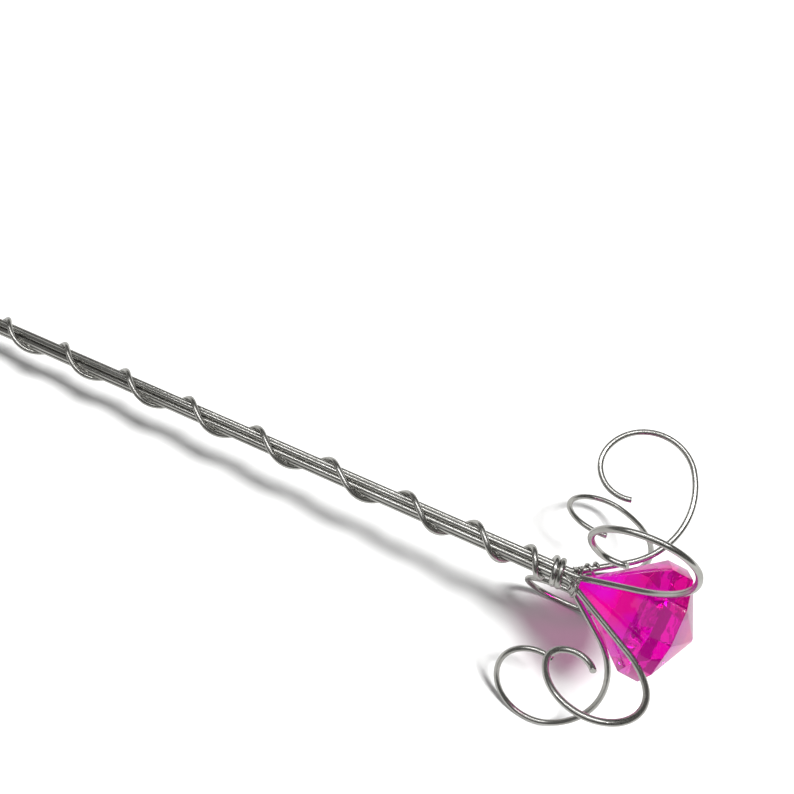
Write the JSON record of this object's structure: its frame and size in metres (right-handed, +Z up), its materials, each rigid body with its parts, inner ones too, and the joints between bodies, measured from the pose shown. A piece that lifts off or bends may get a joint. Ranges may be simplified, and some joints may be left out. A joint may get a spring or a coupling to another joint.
{
  "type": "magic wand",
  "caption": "Handmade wire magic wand: a spiral-wrapped bundle of rods opening into curled scrolls round a pink faceted gem.",
  "frame": {"origin": "middle of the footprint, on the ground the wand rests on", "axes": "+X from the tail to the head, +Z up, as it lies at rest on its tail and two scrolls"},
  "size_m": [0.436, 0.082, 0.0839],
  "materials": {
    "rod_wire": "bright drawn wire with a soft shine",
    "thin_wire": "bright drawn wire, a little duller",
    "gem": "clear hot-pink acrylic with polished facets"
  },
  "bodies": {
    "root": {"core_wire": "rod_wire", "top_scroll_wire": "rod_wire", "back_scroll_wire": "rod_wire", "low_back_scroll_wire": "rod_wire", "bottom_scroll_wire": "rod_wire", "low_front_scroll_wire": "rod_wire", "front_scroll_wire": "rod_wire", "wrap_wire": "rod_wire", "hook_wire": "rod_wire", "lashing_wire": "thin_wire", "cross_lashing_wire": "thin_wire", "gem": "gem"}
  },
  "joints": []
}
